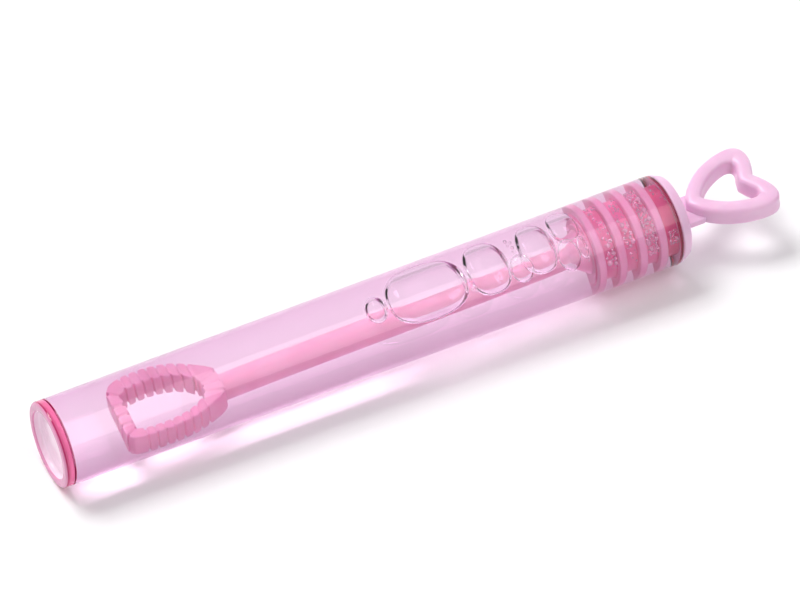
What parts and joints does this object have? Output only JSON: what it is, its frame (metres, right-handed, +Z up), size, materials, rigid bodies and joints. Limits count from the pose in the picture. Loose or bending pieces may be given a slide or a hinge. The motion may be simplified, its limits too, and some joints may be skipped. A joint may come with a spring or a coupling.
{
  "type": "bubble wand",
  "caption": "Clear tube of bubble solution lying on its side, closed by a push-in stopper that carries a heart handle outside and a stem with a finned bubble loop inside.",
  "frame": {"origin": "centre of the bounding box in plan, on the surface that the lying tube rests on", "axes": "+X along the tube from its base to the heart handle, +Y across, +Z up; the heart lies nearly flat in the XY plane"},
  "size_m": [0.1108, 0.0136, 0.0132],
  "materials": {
    "tube": "clear tinted, polished",
    "base_plug": "clear tinted, polished",
    "solution": "clear liquid",
    "plug": "smooth, translucent",
    "wand": "smooth, translucent"
  },
  "bodies": {
    "tube_body": {"tube": "tube", "base_plug": "base_plug", "bubble_solution": "solution"},
    "wand_body": {"stopper_flange": "wand", "stopper_plug": "plug", "handle_neck": "wand", "heart_handle": "wand", "wand_stem": "wand", "bubble_loop": "wand"}
  },
  "joints": [
    {"name": "wand_pull", "type": "slide", "parent": "tube_body", "child": "wand_body", "axis": [1, 0, 0], "range_m": [0, 0.088]}
  ]
}
